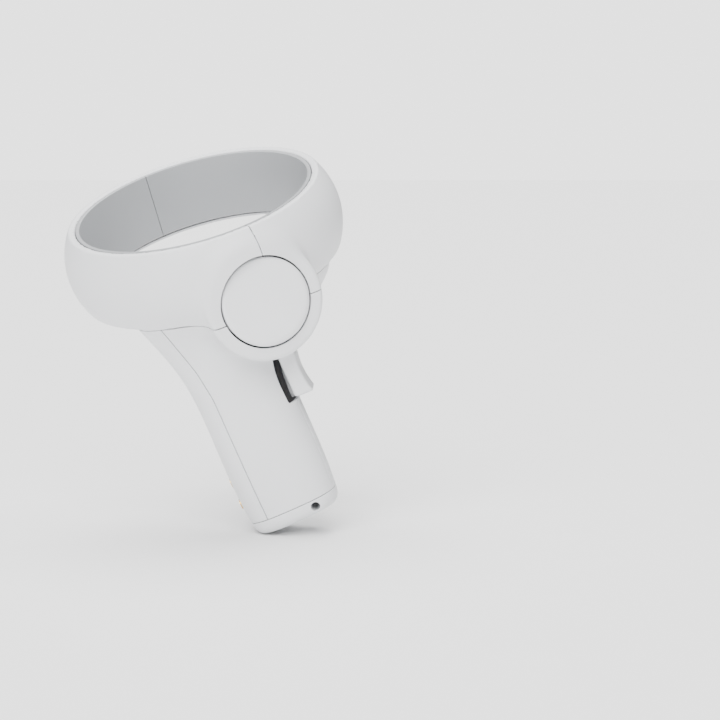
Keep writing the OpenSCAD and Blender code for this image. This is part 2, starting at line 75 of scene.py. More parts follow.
class Place:
    """A local frame: where its origin is, and its X, Y and Z axes as the columns of rot."""

    def __init__(self, at, rot):
        self.at = np.array(at, float)
        self.rot = np.array(rot, float)

    def local(self, p):
        return (p - self.at) @ self.rot

    def world(self, q):
        return np.asarray(q, float) @ self.rot.T + self.at


def joint_axis(name):
    return unit(JOINTS[name]["axis"])


def joint_at(name):
    return np.array(JOINTS[name]["pos_m"]) / MM


# The handle runs up from its end mount. The face is square to the buttons' travel.
handle_up = -unit(MOUNTS["handle_end"]["axis"])
HANDLE = Place([0, 0, 0], np.column_stack([np.cross([0, 1, 0], handle_up), [0, 1, 0], handle_up]))
face_rot = np.column_stack([joint_axis("stick_tilt_x"), joint_axis("stick_tilt_y"),
                            -joint_axis("stick_press")])
STICK = Place(joint_at("stick_tilt_x"), face_rot)
FACE = Place(STICK.world([-9.5, 1.5, 7]), face_rot)
# The trigger's hinge is its local Y, 12 mm left of the cap's axis and 4.6 mm below the hole's edge.
hinge = joint_axis("trigger_pull")
trigger_x = unit([math.cos(math.radians(19.8)), math.sin(math.radians(19.8)), 0])
trigger_rot = np.column_stack([trigger_x, hinge, np.cross(trigger_x, hinge)])
TRIGGER = Place(joint_at("trigger_pull") - trigger_rot @ [-12, 0, -4.6], trigger_rot)
RING = Place([-36.375, 12, 108.711], turned("X", 19.71) @ turned("Y", -13.54) @ turned("Z", 4.79))

# Height of the joint between the ring and the head, in the ring's frame
RING_LOW = -27.15
# Half of the gap at a seam, and the radii of the holes for the trigger and the face plate
GAP = 0.15
HOLE_R = 15.66
FACE_R = 24.85
# The slot in the band that the liner fills: radii, then heights
SLOT_IN, SLOT_OUT = 40.7, 42.3
SLOT_TOP, SLOT_LOW = -1.2, -24.9
# Outside of the end cap's joint, and the wall of the moulded shells
CAP_TOP = 5.25
WALL = 1.3
# Radii of the collar round the trigger and of the drum under the face plate
COLLAR_R = 19.9
DRUM_R = 26.7
# Opening for the grip button in the handle's Y and Z: middle, half sizes, corner radius and floor in X
GRIP_MID = (-1.05, 47.05)
GRIP_HALF = (9.65, 9.25)
GRIP_CORNER = 0.8
GRIP_FLOOR = 10.8


# ---------- distances ----------
def arc(centre, r, a, b, n):
    t = np.radians(np.linspace(a, b, n))
    return np.column_stack([centre[0] + r * np.cos(t), centre[1] + r * np.sin(t)])


def polygon_distance(p, poly):
    """Signed distance from the 2-D points p to a closed polygon, negative inside."""
    best = np.full(len(p), 1e9)
    inside = np.zeros(len(p), bool)
    for a, b in zip(poly, np.roll(poly, -1, 0)):
        e = b - a
        w = p - a
        t = np.clip(w @ e / max(e @ e, 1e-12), 0, 1)
        best = np.minimum(best, ((w - t[:, None] * e) ** 2).sum(1))
        cross = (a[1] <= p[:, 1]) != (b[1] <= p[:, 1])
        if abs(e[1]) > 1e-12:
            inside ^= cross & (p[:, 0] < a[0] + (p[:, 1] - a[1]) * e[0] / e[1])
    return np.where(inside, -1, 1) * np.sqrt(best)


class Table:
    """Values on a regular grid, read back between its nodes by cubic interpolation."""

    def __init__(self, low, step, values):
        self.low = np.array(low, float)
        self.step = step
        self.values = values

    def at(self, p):
        dims = self.values.ndim
        q = (p - self.low) / self.step
        q = np.clip(q, 1, np.array(self.values.shape) - 2.001)
        base = np.floor(q).astype(int)
        f = q - base
        weights = [(-f + 2 * f**2 - f**3) / 2, (2 - 5 * f**2 + 3 * f**3) / 2,
                   (f + 4 * f**2 - 3 * f**3) / 2, (-(f**2) + f**3) / 2]
        total = np.zeros(len(p))
        for corner in np.ndindex(*(4,) * dims):
            w = np.ones(len(p))
            spot = []
            for axis, c in enumerate(corner):
                w = w * weights[c][:, axis]
                spot.append(base[:, axis] + c - 1)
            total += w * self.values[tuple(spot)]
        return total


def grid_points(low, high, step):
    axes = [np.arange(a, b + step, step) for a, b in zip(low, high)]
    return [len(a) for a in axes], np.stack(np.meshgrid(*axes, indexing="ij"), -1).reshape(-1, len(axes))


# Section through the ring's band, in distance from its axis and height above its plane.
# The bulge's arc is 25.4 mm round a point inside the ring, and the rim's top is nearly flat.
band = np.vstack([
    arc((42.6, -0.4), 0.4, 180, 96, 6),
    arc((44.0, -0.7), 0.95, 94, 34, 12),
    arc((23.7, -14.4), 25.4, 33.5, -27.6, 40),
    arc((45.35, -26.0), 0.82, -34, -80, 6),
    [[42.2, -25.6]],
])
band_shape, band_points = grid_points((36, -34), (56, 6), 0.1)
band_table = Table((36, -34), 0.1, polygon_distance(band_points, band).reshape(band_shape))

# Sections of the handle: height, left, right, front and back.
SECTIONS = np.array([[5.2, -15.3, 16.4, -13.8, 12.8], [14, -15.9, 17.1, -14.7, 13.8],
                     [30, -15.9, 17.4, -15.0, 14.2], [44, -15.7, 17.6, -14.4, 14.6]])
# Outline of the head under the ring and the face, every 30 degrees.
HEAD_RIM = np.array([[10.4, 2, 86.5], [8, 16, 84.6], [-4, 27, 78], [-20, 32.5, 71.5], [-37, 28.5, 67.5],
                     [-49.5, 17, 66.8], [-53.2, 0, 70], [-52.2, -14.2, 65.5], [-39.5, -20.1, 66.8],
                     [-25, -22, 69.8], [-10.5, -18.9, 74.5], [1.4, -11.6, 80.2]])
HEAD_MID = np.array([-21, 5, 74])
AROUND = 216


def blob(left, right, front, back, n=AROUND, power=2.5):
    t = np.linspace(0, 2 * np.pi, n, endpoint=False)
    c, s = np.cos(t), np.sin(t)
    return np.column_stack([
        (left + right) / 2 + (right - left) / 2 * np.sign(c) * np.abs(c) ** (2 / power),
        (front + back) / 2 + (back - front) / 2 * np.sign(s) * np.abs(s) ** (2 / power)])


def closed_curve(q, n):
    """Smooth closed curve through the points q."""
    t = np.arange(n) * len(q) / n
    i = np.floor(t).astype(int)
    f = (t - i)[:, None]
    a, b, c, d = (q[(i + k) % len(q)] for k in (-1, 0, 1, 2))
    return 0.5 * (2 * b + (c - a) * f + (2 * a - 5 * b + 4 * c - d) * f**2 + (3 * b - a - 3 * c + d) * f**3)


def handle_ring(z):
    size = [np.polyval(np.polyfit(SECTIONS[:, 0], SECTIONS[:, k], 3), z) for k in range(1, 5)]
    flat = blob(*size)
    return HANDLE.world(np.column_stack([flat, np.full(len(flat), z)]))


def scaled(row, scale):
    return row.mean(0) + scale * (row - row.mean(0))


def body_sections():
    """Closed sections from the foot, up the handle and through the head, into the ring's band."""
    rows = [handle_ring(z) for z in np.linspace(4.6, 44, 60)]
    low = rows[-1]
    high = closed_curve(HEAD_RIM, AROUND)
    back = 0.87 * RING.rot[:, 2] + 0.4 * unit(high - HEAD_MID)
    b = low + 16 * handle_up
    c = high - 12 * back
    for t in np.linspace(0, 1, 90)[1:]:
        rows.append((1 - t) ** 3 * low + 3 * t * (1 - t) ** 2 * b + 3 * t * t * (1 - t) * c + t**3 * high)
    top = high + 6 * (0.95 * RING.rot[:, 2] + 0.2 * unit(high - HEAD_MID))
    rows.append(top)
    # Shallow domes close both ends, inside the ring's band and the end cap
    foot = rows[0]
    for scale, rise in ((0.85, 4), (0.6, 7), (0.3, 9), (0, 9.5)):
        rows.append(scaled(top, scale) + rise * RING.rot[:, 2])
        rows.insert(0, scaled(foot, scale) - rise * 0.4 * handle_up)
    return rows


def loft_faces(rows, around):
    """Quads between closed sections of so many points each."""
    faces = []
    for k in range(rows - 1):
        for i in range(around):
            j = (i + 1) % around
            faces.append((k * around + i, k * around + j, (k + 1) * around + j, (k + 1) * around + i))
    return faces


def body_table():
    rows = body_sections()
    points = np.vstack(rows)
    faces = loft_faces(len(rows), AROUND)
    tree = BVHTree.FromPolygons([tuple(p) for p in points], faces)
    step = 1.25
    low, high = points.min(0) - 5, points.max(0) + 5
    shape, nodes = grid_points(low, high, step)
    values = np.empty(len(nodes))
    for k, p in enumerate(nodes.tolist()):
        spot, normal, _, distance = tree.find_nearest(p)
        out = (p[0] - spot[0]) * normal[0] + (p[1] - spot[1]) * normal[1] + (p[2] - spot[2]) * normal[2]
        values[k] = math.copysign(distance, out)
    return Table(low, step, values.reshape(shape))


body_distance = body_table()


def rounded_cylinder(q, r, low, high, edge):
    """Distance to a cylinder along local Z whose edges have the given radius."""
    a = np.hypot(q[:, 0], q[:, 1]) - r + edge
    b = np.abs(q[:, 2] - (low + high) / 2) - (high - low) / 2 + edge
    return np.hypot(np.maximum(a, 0), np.maximum(b, 0)) + np.minimum(np.maximum(a, b), 0) - edge


def blended(a, b, k):
    """Smooth union: k is the size of the fillet between the two."""
    return np.minimum(a, b) - np.maximum(k - np.abs(a - b), 0) ** 2 / (4 * k)


def trimmed(a, b, k):
    """Intersection whose edge is rounded over the size k."""
    return -blended(-a, -b, k)


def skin_distance(p):
    """Distance to the controller's outer form, before it is cut into its shells."""
    ring = RING.local(p)
    rho, w = np.hypot(ring[:, 0], ring[:, 1]), ring[:, 2]
    face = FACE.local(p)
    trigger = TRIGGER.local(p)
    head = body_distance.at(p)
    head = trimmed(head, w - np.interp(rho, [39.4, 40.6], [-27.3, -24.3]), 2.0)
    head = trimmed(head, face[:, 2] - 0.8, 1.5)
    drum = rounded_cylinder(face, DRUM_R, -17, 0.8, 0.7)
    drum = np.maximum(trimmed(drum, rho - 40.3, 1.0), -28.3 - w)
    form = np.minimum(band_table.at(np.column_stack([rho, w])), blended(head, drum, 1.0))
    # The collar sinks into the ring at its upper left and stands clear at its lower right
    toward = (trigger[:, 1] * 0.64 - trigger[:, 0] * 0.77) / COLLAR_R
    side = np.clip(toward * 0.9 + 0.45, 0, 1)
    side = side * side * (3 - 2 * side)
    trigger[:, 2] += 1.1 * side
    boss = np.maximum(rounded_cylinder(trigger, COLLAR_R, -13, 0, 1.6), 42.4 - rho)
    return blended(form, boss, 1.2 + 5.3 * side)


def gradient(f, p, eps=0.04):
    """Value and gradient of f at the points p."""
    columns = []
    for axis in range(3):
        d = np.zeros(3)
        d[axis] = eps
        columns.append((f(p + d) - f(p - d)) / (2 * eps))
    return f(p), np.column_stack(columns)


# ---------- surface of the form ----------
def surface_nets(values, low, step):
    """Quads where the grid's values change sign, split into triangles."""
    inside = values < 0
    n = np.array(values.shape)
    count = np.zeros(n - 1, int)
    for c in np.ndindex(2, 2, 2):
        count += inside[c[0]:n[0] - 1 + c[0], c[1]:n[1] - 1 + c[1], c[2]:n[2] - 1 + c[2]]
    active = (count > 0) & (count < 8)
    number = np.full(n - 1, -1)
    number[active] = np.arange(active.sum())
    total = np.zeros((active.sum(), 3))
    seen = np.zeros(active.sum())
    quads = []
    for axis in range(3):
        e = np.zeros(3, int)
        e[axis] = 1
        a = inside[tuple(slice(0, m - s) for m, s in zip(n, e))]
        b = inside[tuple(slice(s, m) for m, s in zip(n, e))]
        node = np.argwhere(a != b)
        va = values[tuple(node.T)]
        vb = values[tuple((node + e).T)]
        spot = node + (va / (va - vb))[:, None] * e
        u, v = np.eye(3, dtype=int)[(axis + 1) % 3], np.eye(3, dtype=int)[(axis + 2) % 3]
        cells = [number[tuple((node - s).T)] for s in (u + v, v, 0 * u, u)]
        for c in cells:
            for k in range(3):
                total[:, k] += np.bincount(c, spot[:, k], len(seen))
            seen += np.bincount(c, minlength=len(seen))
        quad = np.column_stack(cells)
        flip = va > 0
        quad[flip] = quad[flip][:, ::-1]
        quads.append(quad)
    quads = np.vstack(quads)
    points = total / seen[:, None] * step + low
    return points, np.vstack([quads[:, [0, 1, 2]], quads[:, [0, 2, 3]]])


def settle(points, f, rounds=3):
    for _ in range(rounds):
        d, g = gradient(f, points)
        points = points - np.clip(d, -0.4, 0.4)[:, None] * g / np.maximum((g * g).sum(1), 0.3)[:, None]
    return points


def split(points, tris, f, snap=0.09):
    """Cuts the triangles along f = 0, moving nearby points onto the cut."""
    d, g = gradient(f, points)
    near = np.abs(d) < snap
    points = points.copy()
    points[near] -= (d / np.maximum((g * g).sum(1), 0.3))[near, None] * g[near]
    d[near] = 0
    s = np.sign(d).astype(int)[tris]
    crossing = (s.min(1) < 0) & (s.max(1) > 0)
    keep = [tris[~crossing]]
    t, s = tris[crossing], s[crossing]
    # Turn each triangle so that the point alone on its side, or the one on the cut, comes first
    lone = np.where((s == 0).any(1), (s == 0).argmax(1), (s == -np.sign(s.sum(1))[:, None]).argmax(1))
    order = (lone[:, None] + [0, 1, 2]) % 3
    t = np.take_along_axis(t, order, 1)
    on_cut = np.take_along_axis(s, order, 1)[:, 0] == 0
    edges = np.vstack([t[on_cut][:, [1, 2]], t[~on_cut][:, [0, 1]], t[~on_cut][:, [0, 2]]])
    pairs, where = np.unique(np.sort(edges, 1), axis=0, return_inverse=True)
    where = where.ravel()
    a, b = points[pairs[:, 0]], points[pairs[:, 1]]
    da, db = d[pairs[:, 0]], d[pairs[:, 1]]
    fresh = a + (da / (da - db))[:, None] * (b - a)
    new = where + len(points)
    n1, n2 = on_cut.sum(), (~on_cut).sum()
    m = new[:n1]
    c = t[on_cut]
    keep += [np.column_stack([c[:, 0], c[:, 1], m]), np.column_stack([c[:, 0], m, c[:, 2]])]
    p, q = new[n1:n1 + n2], new[n1 + n2:]
    c = t[~on_cut]
    keep += [np.column_stack([c[:, 0], p, q]), np.column_stack([p, c[:, 1], c[:, 2]]),
             np.column_stack([p, c[:, 2], q])]
    return np.vstack([points, fresh]), np.vstack(keep)


# ---------- the cuts between the shells ----------
def ring_height(p):
    return RING.local(p)[:, 2]


def ring_rho(p):
    q = RING.local(p)
    return np.hypot(q[:, 0], q[:, 1])


def seam_plane(azimuth):
    """Distance to the plane through the ring's axis at that azimuth from its front."""
    a = math.radians(azimuth - 90)
    across = np.array([-math.sin(a), math.cos(a), 0])
    return lambda p: RING.local(p) @ across


def trigger_rho(p):
    q = TRIGGER.local(p)
    return np.hypot(q[:, 0], q[:, 1])


def face_rho(p):
    q = FACE.local(p)
    return np.hypot(q[:, 0], q[:, 1])


def cover_edge(p):
    q = HANDLE.local(p)
    z = q[:, 2]
    edge = np.interp(z, [0, 50, 60.5, 69, 78, 90], [-8.6, -8.6, -10, -12.1, -14, -17])
    return q[:, 0] - edge


def split_line(p):
    q = HANDLE.local(p)
    return (q[:, 1] - np.interp(q[:, 2], [46, 82], [-6, 13])) * 0.9


def pocket(p):
    """Rounded rectangle of the grip button's opening, only on the inner side."""
    q = HANDLE.local(p)
    y, z = (np.abs(q[:, k + 1] - GRIP_MID[k]) - GRIP_HALF[k] + GRIP_CORNER for k in (0, 1))
    d = np.hypot(np.maximum(y, 0), np.maximum(z, 0)) + np.minimum(np.maximum(y, z), 0) - GRIP_CORNER
    return np.maximum(d, GRIP_FLOOR - q[:, 0])


def handle_height(p):
    return HANDLE.local(p)[:, 2]


# Grid for the surface, 3 mm past the CAD model's box on every side
low, high = np.array(cad_box[0]) / MM - 3, np.array(cad_box[1]) / MM + 3
STEP = 0.85
shape, nodes = grid_points(low, high, STEP)
values = np.concatenate([skin_distance(part) for part in np.array_split(nodes, 24)]).reshape(shape)
points, tris = surface_nets(values, low, STEP)
points = settle(points, skin_distance)

# Azimuths of the seams between the ring's covers, in degrees from its front
FRONT, FAR = 25, -154.5
SEAMS = {
    "ring": lambda p: ring_height(p) - RING_LOW,
    "front": seam_plane(FRONT),
    "far": seam_plane(FAR),
    "cover": cover_edge,
    "split": split_line,
    "rim": lambda p: FACE.local(p)[:, 2] + 4.5,
}
EDGES = [
    lambda p: trigger_rho(p) - HOLE_R,
    lambda p: face_rho(p) - FACE_R,
    pocket,
    lambda p: ring_rho(p) - SLOT_IN,
    lambda p: ring_rho(p) - SLOT_OUT,
    lambda p: ring_height(p) - SLOT_TOP,
    lambda p: ring_height(p) - SLOT_LOW,
    lambda p: handle_height(p) - CAP_TOP,
]
# Round along every cut, and half the width of a closed butt joint
FILLET = 0.16
HAIRLINE = 0.012
for f in EDGES:
    points, tris = split(points, tris, f)
for name, f in SEAMS.items():
    # The covers' far joint is a closed butt joint, so it shows no groove
    wide = HAIRLINE if name == "far" else GAP + FILLET
    points, tris = split(points, tris, lambda p: f(p) - wide)
    points, tris = split(points, tris, lambda p: f(p) + wide)
points = settle(points, skin_distance, 1)
normals = unit(gradient(skin_distance, points)[1])

# ---------- sorting the triangles into shells ----------
mid = points[tris].mean(1)
corner_a, corner_b, corner_c = (points[tris[:, k]] for k in range(3))
area = np.linalg.norm(np.cross(corner_b - corner_a, corner_c - corner_a), axis=1)
ring_q, face_q, trig_q, hand_q = RING.local(mid), FACE.local(mid), TRIGGER.local(mid), HANDLE.local(mid)
rho = np.hypot(ring_q[:, 0], ring_q[:, 1])
w = ring_q[:, 2]
side_of = {name: f(mid) for name, f in SEAMS.items()}
in_gap = {name: np.abs(d) < (HAIRLINE if name == "far" else GAP + FILLET) for name, d in side_of.items()}
gone = (area < 1e-5) | ((np.hypot(trig_q[:, 0], trig_q[:, 1]) < HOLE_R) & (trig_q[:, 2] > -9))
gone |= (np.hypot(face_q[:, 0], face_q[:, 1]) < FACE_R) & (face_q[:, 2] > -3)
gone |= (pocket(mid) < 0) | (hand_q[:, 2] < CAP_TOP)
gone |= (rho > SLOT_IN) & (rho < SLOT_OUT) & (w < SLOT_TOP) & (w > SLOT_LOW)
on_ring = (side_of["ring"] > 0) & (rho > SLOT_IN)
front_half = ring_q[:, 1] < 0
az = np.degrees(np.arctan2(ring_q[:, 0], -ring_q[:, 1]))
left_part = (az < FRONT) & (az > FAR)
ring_gap = (in_gap["front"] & front_half) | (in_gap["far"] & ~front_half)
raised = side_of["rim"] > 0
under = ~on_ring & ~gone & ~(in_gap["ring"] & (rho > SLOT_IN))
cover_side = (side_of["cover"] < 0) & ~raised
cover_gap = in_gap["cover"] & ~raised | (in_gap["rim"] & (side_of["cover"] < GAP + FILLET))
rear = side_of["split"] > 0
SHELLS = {
    "ring_cover_left": on_ring & left_part & ~ring_gap & ~in_gap["ring"] & ~gone,
    "ring_cover_right": on_ring & ~left_part & ~ring_gap & ~in_gap["ring"] & ~gone,
    "battery_cover": under & cover_side & ~cover_gap,
    "front_housing": under & ~cover_side & ~cover_gap & ~rear & ~in_gap["split"],
    "rear_housing": under & ~cover_side & ~cover_gap & rear & ~in_gap["split"],
}


# ---------- shells with real edges ----------
def shell_mesh(faces, thick):
    """Outer skin, a small round along every cut, a wall of that thickness and an inner skin."""
    used, local = np.unique(faces, return_inverse=True)
    local = local.reshape(-1, 3)
    p, n = points[used], normals[used]
    half = np.vstack([local[:, [0, 1]], local[:, [1, 2]], local[:, [2, 0]]])
    key = half[:, 0].astype(np.int64) * len(used) + half[:, 1]
    back = half[:, 1].astype(np.int64) * len(used) + half[:, 0]
    rim = half[~np.isin(key, back)]
    start = np.cross(unit(p[rim[:, 1]] - p[rim[:, 0]]), n[rim[:, 0]])
    length = np.linalg.norm(p[rim[:, 1]] - p[rim[:, 0]], axis=1)
    first, second = np.zeros_like(p), np.zeros_like(p)
    np.add.at(first, rim[:, 0], start * np.minimum(length, 0.3)[:, None])
    np.add.at(second, rim[:, 1], start * np.minimum(length, 0.3)[:, None])
    total = first + second
    out = unit(total)
    bend = np.clip((unit(first) * unit(second)).sum(1), -0.2, 1)
    out = out / np.sqrt((1 + bend) / 2)[:, None]
    edge = np.unique(rim)
    spot = np.full(len(used), -1)
    spot[edge] = np.arange(len(edge))
    b, ne, pe = out[edge], n[edge], p[edge]
    tight = (np.abs(SEAMS["far"](pe)) < 0.05) & (RING.local(pe)[:, 1] > 0)
    round_r = np.where(tight, 0.001, FILLET)[:, None]
    verts, norms = [p], [n]
    for t in np.radians([30, 60, 90]):
        verts.append(pe + round_r * (math.sin(t) * b - (1 - math.cos(t)) * ne))
        norms.append(np.where(tight[:, None], ne, unit(math.cos(t) * ne + math.sin(t) * b)))
    verts.append(pe + round_r * b - thick * ne)
    norms.append(unit(b))
    inner_at = len(p) + 4 * len(edge)
    verts.append(p - thick * n)
    norms.append(-n)
    rows = [edge] + [len(p) + k * len(edge) + np.arange(len(edge)) for k in range(4)] + [inner_at + edge]
    a, c = spot[rim[:, 0]], spot[rim[:, 1]]
    all_faces = [local, inner_at + local[:, ::-1]]
    for k in range(5):
        all_faces.append(np.column_stack([rows[k][a], rows[k + 1][a], rows[k + 1][c]]))
        all_faces.append(np.column_stack([rows[k][a], rows[k + 1][c], rows[k][c]]))
    return np.vstack(verts), np.vstack(all_faces), np.vstack(norms)


def make(name, verts, faces, normals=None):
    """Mesh object from points in millimetres, with smooth faces and any normals given."""
    mesh = bpy.data.meshes.new(name)
    verts = np.asarray(verts, float) * MM
    if isinstance(faces, np.ndarray):
        mesh.vertices.add(len(verts))
        mesh.vertices.foreach_set("co", verts.ravel())
        mesh.loops.add(faces.size)
        mesh.loops.foreach_set("vertex_index", faces.ravel().astype(np.int32))
        mesh.polygons.add(len(faces))
        mesh.polygons.foreach_set("loop_start", (np.arange(len(faces)) * faces.shape[1]).astype(np.int32))
        mesh.update(calc_edges=True)
    else:
        mesh.from_pydata([tuple(v) for v in verts], [], faces)
    mesh.polygons.foreach_set("use_smooth", np.ones(len(mesh.polygons), bool))
    mesh.update()
    if normals is not None:
        mesh.normals_split_custom_set_from_vertices([tuple(v) for v in normals])
    obj = bpy.data.objects.new(name, mesh)
    bpy.context.scene.collection.objects.link(obj)
    return obj


def finish_piece(obj, body, nodes, slot):
    """Puts the slot's material on a piece and ties it to its CAD body and nodes."""
    obj.data.materials.clear()
    obj.data.materials.append(MATERIALS[slot])
    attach(obj, body)
    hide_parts(*nodes)
    return obj


def eased(obj, width, angle=35):
    """Rounds the sharp edges of a piece and shades it by angle."""
    bevel = obj.modifiers.new("edge", "BEVEL")
    bevel.width = width * MM
    bevel.segments = 2
    bevel.limit_method = "ANGLE"
    bevel.angle_limit = math.radians(angle)
    bevel.harden_normals = False
    bpy.context.view_layer.update()
    done = bpy.data.meshes.new_from_object(obj.evaluated_get(bpy.context.evaluated_depsgraph_get()))
    obj.modifiers.clear()
    obj.data = done
    done.polygons.foreach_set("use_smooth", np.ones(len(done.polygons), bool))
    done.set_sharp_from_angle(angle=math.radians(angle))
    return obj


def cad_copy(name, node):
    """A copy of a CAD node's mesh with its points joined, to ease its edges."""
    source = frame["nodes"][node].data
    verts = np.array([v.co for v in source.vertices]) / MM
    _, first, where = np.unique(np.round(verts, 3), axis=0, return_index=True, return_inverse=True)
    where = where.ravel()
    faces = [tuple(where[list(p.vertices)]) for p in source.polygons]
    obj = make(name, verts[first], [f for f in faces if len(set(f)) == len(f)])
    modifier = obj.modifiers.new("flat", "DECIMATE")
    modifier.decimate_type = "DISSOLVE"
    modifier.angle_limit = math.radians(0.5)
    return obj


def revolve(name, place, profile, a=0, b=360, n=128, wave=None):
    """Closed section turned round the place's Z from angle a to b; wave moves points outwards."""
    full = b - a >= 360
    turns = np.radians(np.linspace(a, b, n, endpoint=not full))
    profile = np.array(profile, float)
    rows = []
    for t in turns:
        r = profile[:, 0] + (0 if wave is None else wave(profile, t))
        rows.append(np.column_stack([r * math.cos(t), r * math.sin(t), profile[:, 1]]))
    m = len(profile)
    verts = place.world(np.vstack(rows))
    faces = []
    for i in range(n if full else n - 1):
        j = (i + 1) % n
        for k in range(m):
            q = (k + 1) % m
            if profile[k, 0] != 0 or profile[q, 0] != 0:
                faces.append((i * m + k, j * m + k, j * m + q, i * m + q))
    if not full:
        faces += [tuple(range(m - 1, -1, -1)), tuple((n - 1) * m + k for k in range(m))]
    obj = make(name, verts, faces)
    weld = obj.modifiers.new("weld", "WELD")
    weld.merge_threshold = 0.002 * MM
    bpy.context.view_layer.update()
    done = bpy.data.meshes.new_from_object(obj.evaluated_get(bpy.context.evaluated_depsgraph_get()))
    obj.modifiers.clear()
    obj.data = done
    done.polygons.foreach_set("use_smooth", np.ones(len(done.polygons), bool))
    done.set_sharp_from_angle(angle=math.radians(32))
    return obj


# ---------- materials ----------
def linear(code):
    """Linear colour from a hex sRGB code."""
    parts = [int(code[k:k + 2], 16) / 255 for k in (1, 3, 5)]
    return tuple([c / 12.92 if c <= 0.04045 else ((c + 0.055) / 1.055) ** 2.4 for c in parts] + [1.0])


def add(tree, kind, links=(), **settings):
    """Adds a shader node, sets its inputs or properties, and links inputs to (node, output) pairs."""
    node = tree.nodes.new(kind)
    for key, value in settings.items():
        if key in node.inputs:
            node.inputs[key].default_value = value
        else:
            setattr(node, key, value)
    for name, (source, output) in dict(links).items():
        tree.links.new(source.outputs[output], node.inputs[name])
    return node


def material(name, colour, shade, rough, grain, bump, metallic=0.0, ior=1.46, stretch=(1, 1, 1), coat=0.0):
    """Colour that drifts to shade, with a grain of the given size in mm and height in microns."""
    mat = bpy.data.materials.new(name)
    mat.use_nodes = True
    tree = mat.node_tree
    tree.nodes.clear()
    place = add(tree, "ShaderNodeTexCoord")
    grains = add(tree, "ShaderNodeMapping", {"Vector": (place, "Object")}, Scale=stretch)
    fine = add(tree, "ShaderNodeTexNoise", {"Vector": (grains, "Vector")}, Scale=1 / (grain * MM),
               Detail=3.0, Roughness=0.55)
    broad = add(tree, "ShaderNodeTexNoise", {"Vector": (grains, "Vector")}, Scale=1 / (18 * MM), Detail=2.0)
    tint = add(tree, "ShaderNodeMix", {"Factor": (broad, "Fac")}, data_type="RGBA")
    tint.inputs[6].default_value = linear(colour)
    tint.inputs[7].default_value = linear(shade)
    wear = add(tree, "ShaderNodeMapRange", {"Value": (fine, "Fac")})
    wear.inputs["To Min"].default_value = rough * 0.93
    wear.inputs["To Max"].default_value = min(rough * 1.07, 1)
    height = add(tree, "ShaderNodeBump", {"Height": (fine, "Fac")}, Strength=1.0, Distance=bump * MM * MM)
    surface = add(tree, "ShaderNodeBsdfPrincipled",
                  {"Roughness": (wear, "Result"), "Normal": (height, "Normal")}, Metallic=metallic, IOR=ior)
    surface.inputs["Coat Weight"].default_value = coat
    tree.links.new(tint.outputs[2], surface.inputs["Base Color"])
    add(tree, "ShaderNodeOutputMaterial", {"Surface": (surface, "BSDF")})
    return mat


MATERIALS = {
    # Satin ABS: a pale, neutral grey-white with soft, wide highlights and a grain too fine to see as spots
    "shell_white": material("satin_abs_white", "#E2E3E5", "#DEDFE1", 0.46, 0.35, 6, ior=1.53),
    # Polished ABS: the same white, with a clear sheen that sets the trigger and the keys apart
    "key_white": material("polished_abs_white", "#E8E9EB", "#E5E6E8", 0.22, 0.8, 1.5, ior=1.53),
    # Infrared-clear polycarbonate: an even mid grey with a dull sheen inside the ring
    "liner_grey": material("grey_polycarbonate", "#9EA0A2", "#999B9E", 0.42, 0.4, 5, ior=1.58),
    # Soft-touch elastomer: grey, almost without highlights
    "stick_grey": material("soft_touch_elastomer", "#C4C6C9", "#BCBEC2", 0.72, 0.3, 18, ior=1.5),
    # Dark moulded nylon: the near-black that shows in the gaps
    "inner_dark": material("dark_nylon", "#2B2C2F", "#232427", 0.55, 0.5, 8, ior=1.53),
    # Drawn spring steel: bright, slightly stretched grain along the wire
    "steel": material("drawn_steel", "#C6C8CA", "#B4B6B9", 0.28, 0.4, 3, 1.0, 2.5, (1, 1, 4)),
    # Die-cast zinc: a duller, cloudier metal grey
    "zinc": material("cast_zinc", "#A9ABAE", "#96989C", 0.48, 0.7, 12, 1.0, 2.0),
    # Nickel plate: smooth and mirror-like
    "magnet": material("nickel_plate", "#D2D3D4", "#C9CACC", 0.12, 1.0, 1, 1.0, 2.2),
    # Solder mask on glass-fibre board: deep green with a wet-looking coat over a woven relief
    "board_green": material("solder_mask_green", "#1E5B3A", "#174A2F", 0.35, 0.9, 10, ior=1.5, coat=0.4),
    # Polyimide film: clear amber with a slight gloss
    "film_amber": material("polyimide_film", "#C58A35", "#B4792B", 0.25, 1.5, 4, ior=1.7),
    # Moulded silicone: matt mid grey
    "silicone": material("moulded_silicone", "#8E9094", "#85878B", 0.68, 0.4, 10, ior=1.41),
    # Dark epoxy of the infrared lamps: glossy near-black
    "lamp_dark": material("dark_epoxy", "#1C1D21", "#15161A", 0.12, 1.0, 1, ior=1.55),
    # Shrink-wrapped PVC on the steel can: saturated blue with a soft sheen
    "cell_jacket": material("pvc_jacket_blue", "#2A5C9E", "#234F8B", 0.32, 1.2, 4, ior=1.54),
    # Gold plate on the charging contacts: warm and bright
    "gold": material("gold_plate", "#E0B45A", "#D2A54C", 0.2, 0.6, 2, 1.0, 1.2),
}

slot_of = {part["node"]: part["material_slot"] for part in RECORD["subparts"]}
for node, obj in frame["nodes"].items():
    obj.data.materials.clear()
    obj.data.materials.append(MATERIALS[slot_of[node]])

# ---------- the moulded shells ----------
bodies = {"battery_cover": "cover"}
for name, mask in SHELLS.items():
    verts, faces, norms = shell_mesh(tris[mask], WALL)
    piece = make(name + "_shell", verts, faces, norms)
    finish_piece(piece, bodies.get(name, "controller"), [name], "shell_white")

# Grey liner: a chamfered band inside the covers, parted at the same seams
liner = [[40.6, -0.4], [40.68, -0.2], [40.9, -0.1], [41.85, -0.1], [41.95, -0.2], [41.95, -23.9],
         [40.95, -23.9], [40.6, -23.55]]
